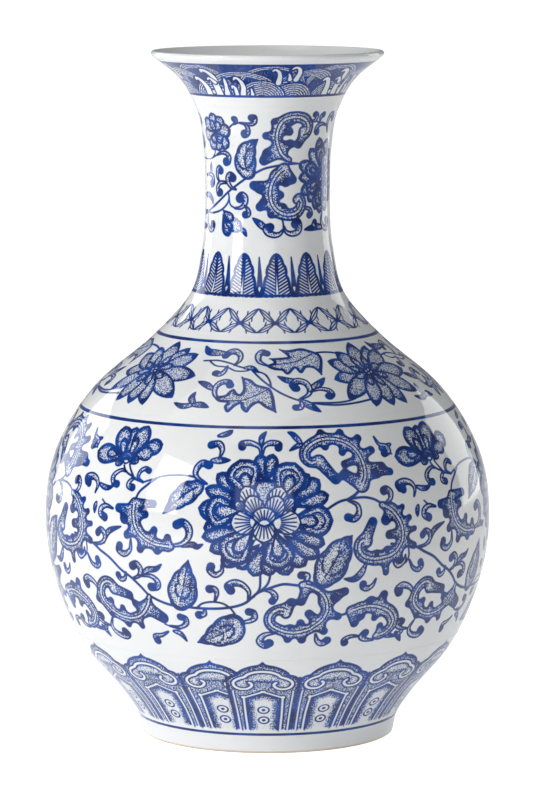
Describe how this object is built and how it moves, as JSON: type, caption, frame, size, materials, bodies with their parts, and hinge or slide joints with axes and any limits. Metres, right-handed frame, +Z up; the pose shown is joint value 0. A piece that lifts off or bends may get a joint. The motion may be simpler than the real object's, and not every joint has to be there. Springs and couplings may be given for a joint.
{
  "type": "porcelain vase",
  "caption": "Blue and white porcelain vase with a trumpet mouth, narrow neck, full round belly and foot ring, decorated with lotus scrolls and borders.",
  "frame": {"origin": "centre of the foot ring on the plane that the vase stands on", "axes": "+Z up along the axis the vase is turned about; -Y is the front, where the large open lotus is; +X is to the right seen from the front"},
  "size_m": [0.215, 0.215, 0.33],
  "materials": {
    "white_porcelain": "clear gloss glaze on white porcelain",
    "foot_porcelain": "clear gloss glaze, with a bare, faintly brown rim on the foot ring",
    "slip": "fired slip, matt",
    "cobalt_decoration": "cobalt blue print under a clear gloss glaze"
  },
  "bodies": {
    "root": {"neck_section": "white_porcelain", "shoulder_section": "white_porcelain", "belly_section": "white_porcelain", "foot_section": "foot_porcelain", "neck_slip_joint": "slip", "belly_slip_joint": "slip", "foot_slip_joint": "slip", "wave_border_transfer": "cobalt_decoration", "neck_scroll_transfer_1": "cobalt_decoration", "neck_scroll_transfer_2": "cobalt_decoration", "leaf_border_transfer": "cobalt_decoration", "lattice_border_transfer": "cobalt_decoration", "shoulder_line": "cobalt_decoration", "shoulder_scroll_transfer_1": "cobalt_decoration", "shoulder_scroll_transfer_2": "cobalt_decoration", "shoulder_scroll_transfer_3": "cobalt_decoration", "shoulder_scroll_transfer_4": "cobalt_decoration", "belly_line": "cobalt_decoration", "belly_scroll_transfer_1": "cobalt_decoration", "belly_scroll_transfer_2": "cobalt_decoration", "belly_scroll_transfer_3": "cobalt_decoration", "belly_scroll_transfer_4": "cobalt_decoration", "lotus_panel_transfer": "cobalt_decoration", "foot_line": "cobalt_decoration"}
  },
  "joints": []
}
